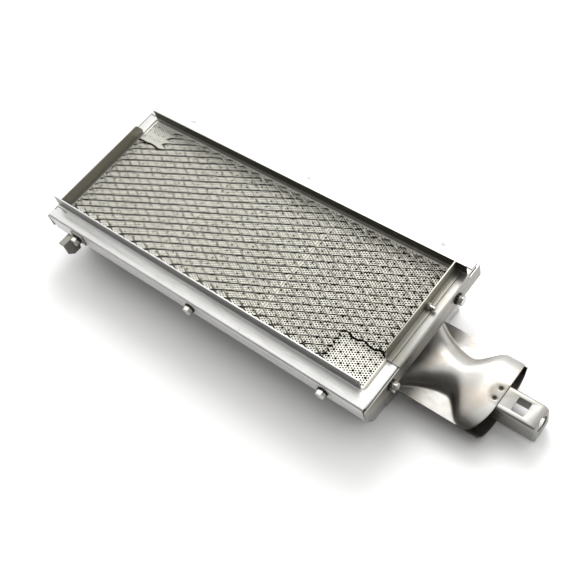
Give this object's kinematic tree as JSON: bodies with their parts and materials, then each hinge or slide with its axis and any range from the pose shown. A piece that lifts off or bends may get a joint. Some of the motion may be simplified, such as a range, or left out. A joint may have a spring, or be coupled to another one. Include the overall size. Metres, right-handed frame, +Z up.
{
  "type": "infrared gas burner",
  "caption": "Flat infrared gas burner: perforated ceramic tiles under an expanded-metal screen in a framed steel pan, with a stamped venturi and an orifice bracket.",
  "frame": {"origin": "centre of the pan's floor, on its underside", "axes": "+X along the burner towards the venturi's mouth, +Y to the back, +Z up, out of the tiles"},
  "size_m": [0.4396, 0.1635, 0.065],
  "materials": {
    "rail_steel": "satin, mill finish",
    "lip_steel": "satin, heat-darkened",
    "pan_steel": "smooth, bright",
    "tile_ceramic": "matt, unglazed",
    "fibre_gasket": "soft ceramic fibre",
    "screen_steel": "heat-stained",
    "fastener_steel": "bright zinc plate",
    "washer_black": "black oxide",
    "venturi_steel": "stamped, polished, straw heat tints",
    "bracket_steel": "satin"
  },
  "bodies": {
    "root": {"pan": "pan_steel", "front_rail": "rail_steel", "back_rail": "rail_steel", "left_end_rail": "rail_steel", "right_end_rail": "rail_steel", "left_lip_angle": "lip_steel", "right_lip_angle": "lip_steel", "tile_left": "tile_ceramic", "tile_middle": "tile_ceramic", "tile_right": "tile_ceramic", "tile_edge_gasket": "fibre_gasket", "tile_joint_strips": "fibre_gasket", "tile_bed_gasket": "fibre_gasket", "front_ledge": "pan_steel", "back_ledge": "pan_steel", "left_ledge": "pan_steel", "right_ledge": "pan_steel", "tile_cross_bars": "pan_steel", "screen": "screen_steel", "screen_screw": "fastener_steel", "screen_nut": "fastener_steel", "side_bolts": "fastener_steel", "side_washers": "washer_black", "side_nuts": "fastener_steel", "end_bolts": "fastener_steel", "end_washers": "washer_black", "end_nuts": "fastener_steel", "venturi_upper_shell": "venturi_steel", "venturi_lower_shell": "venturi_steel", "venturi_collar": "pan_steel", "orifice_bracket": "bracket_steel", "mounting_ear": "bracket_steel", "baffle_plate": "pan_steel", "baffle_legs": "pan_steel"}
  },
  "joints": []
}
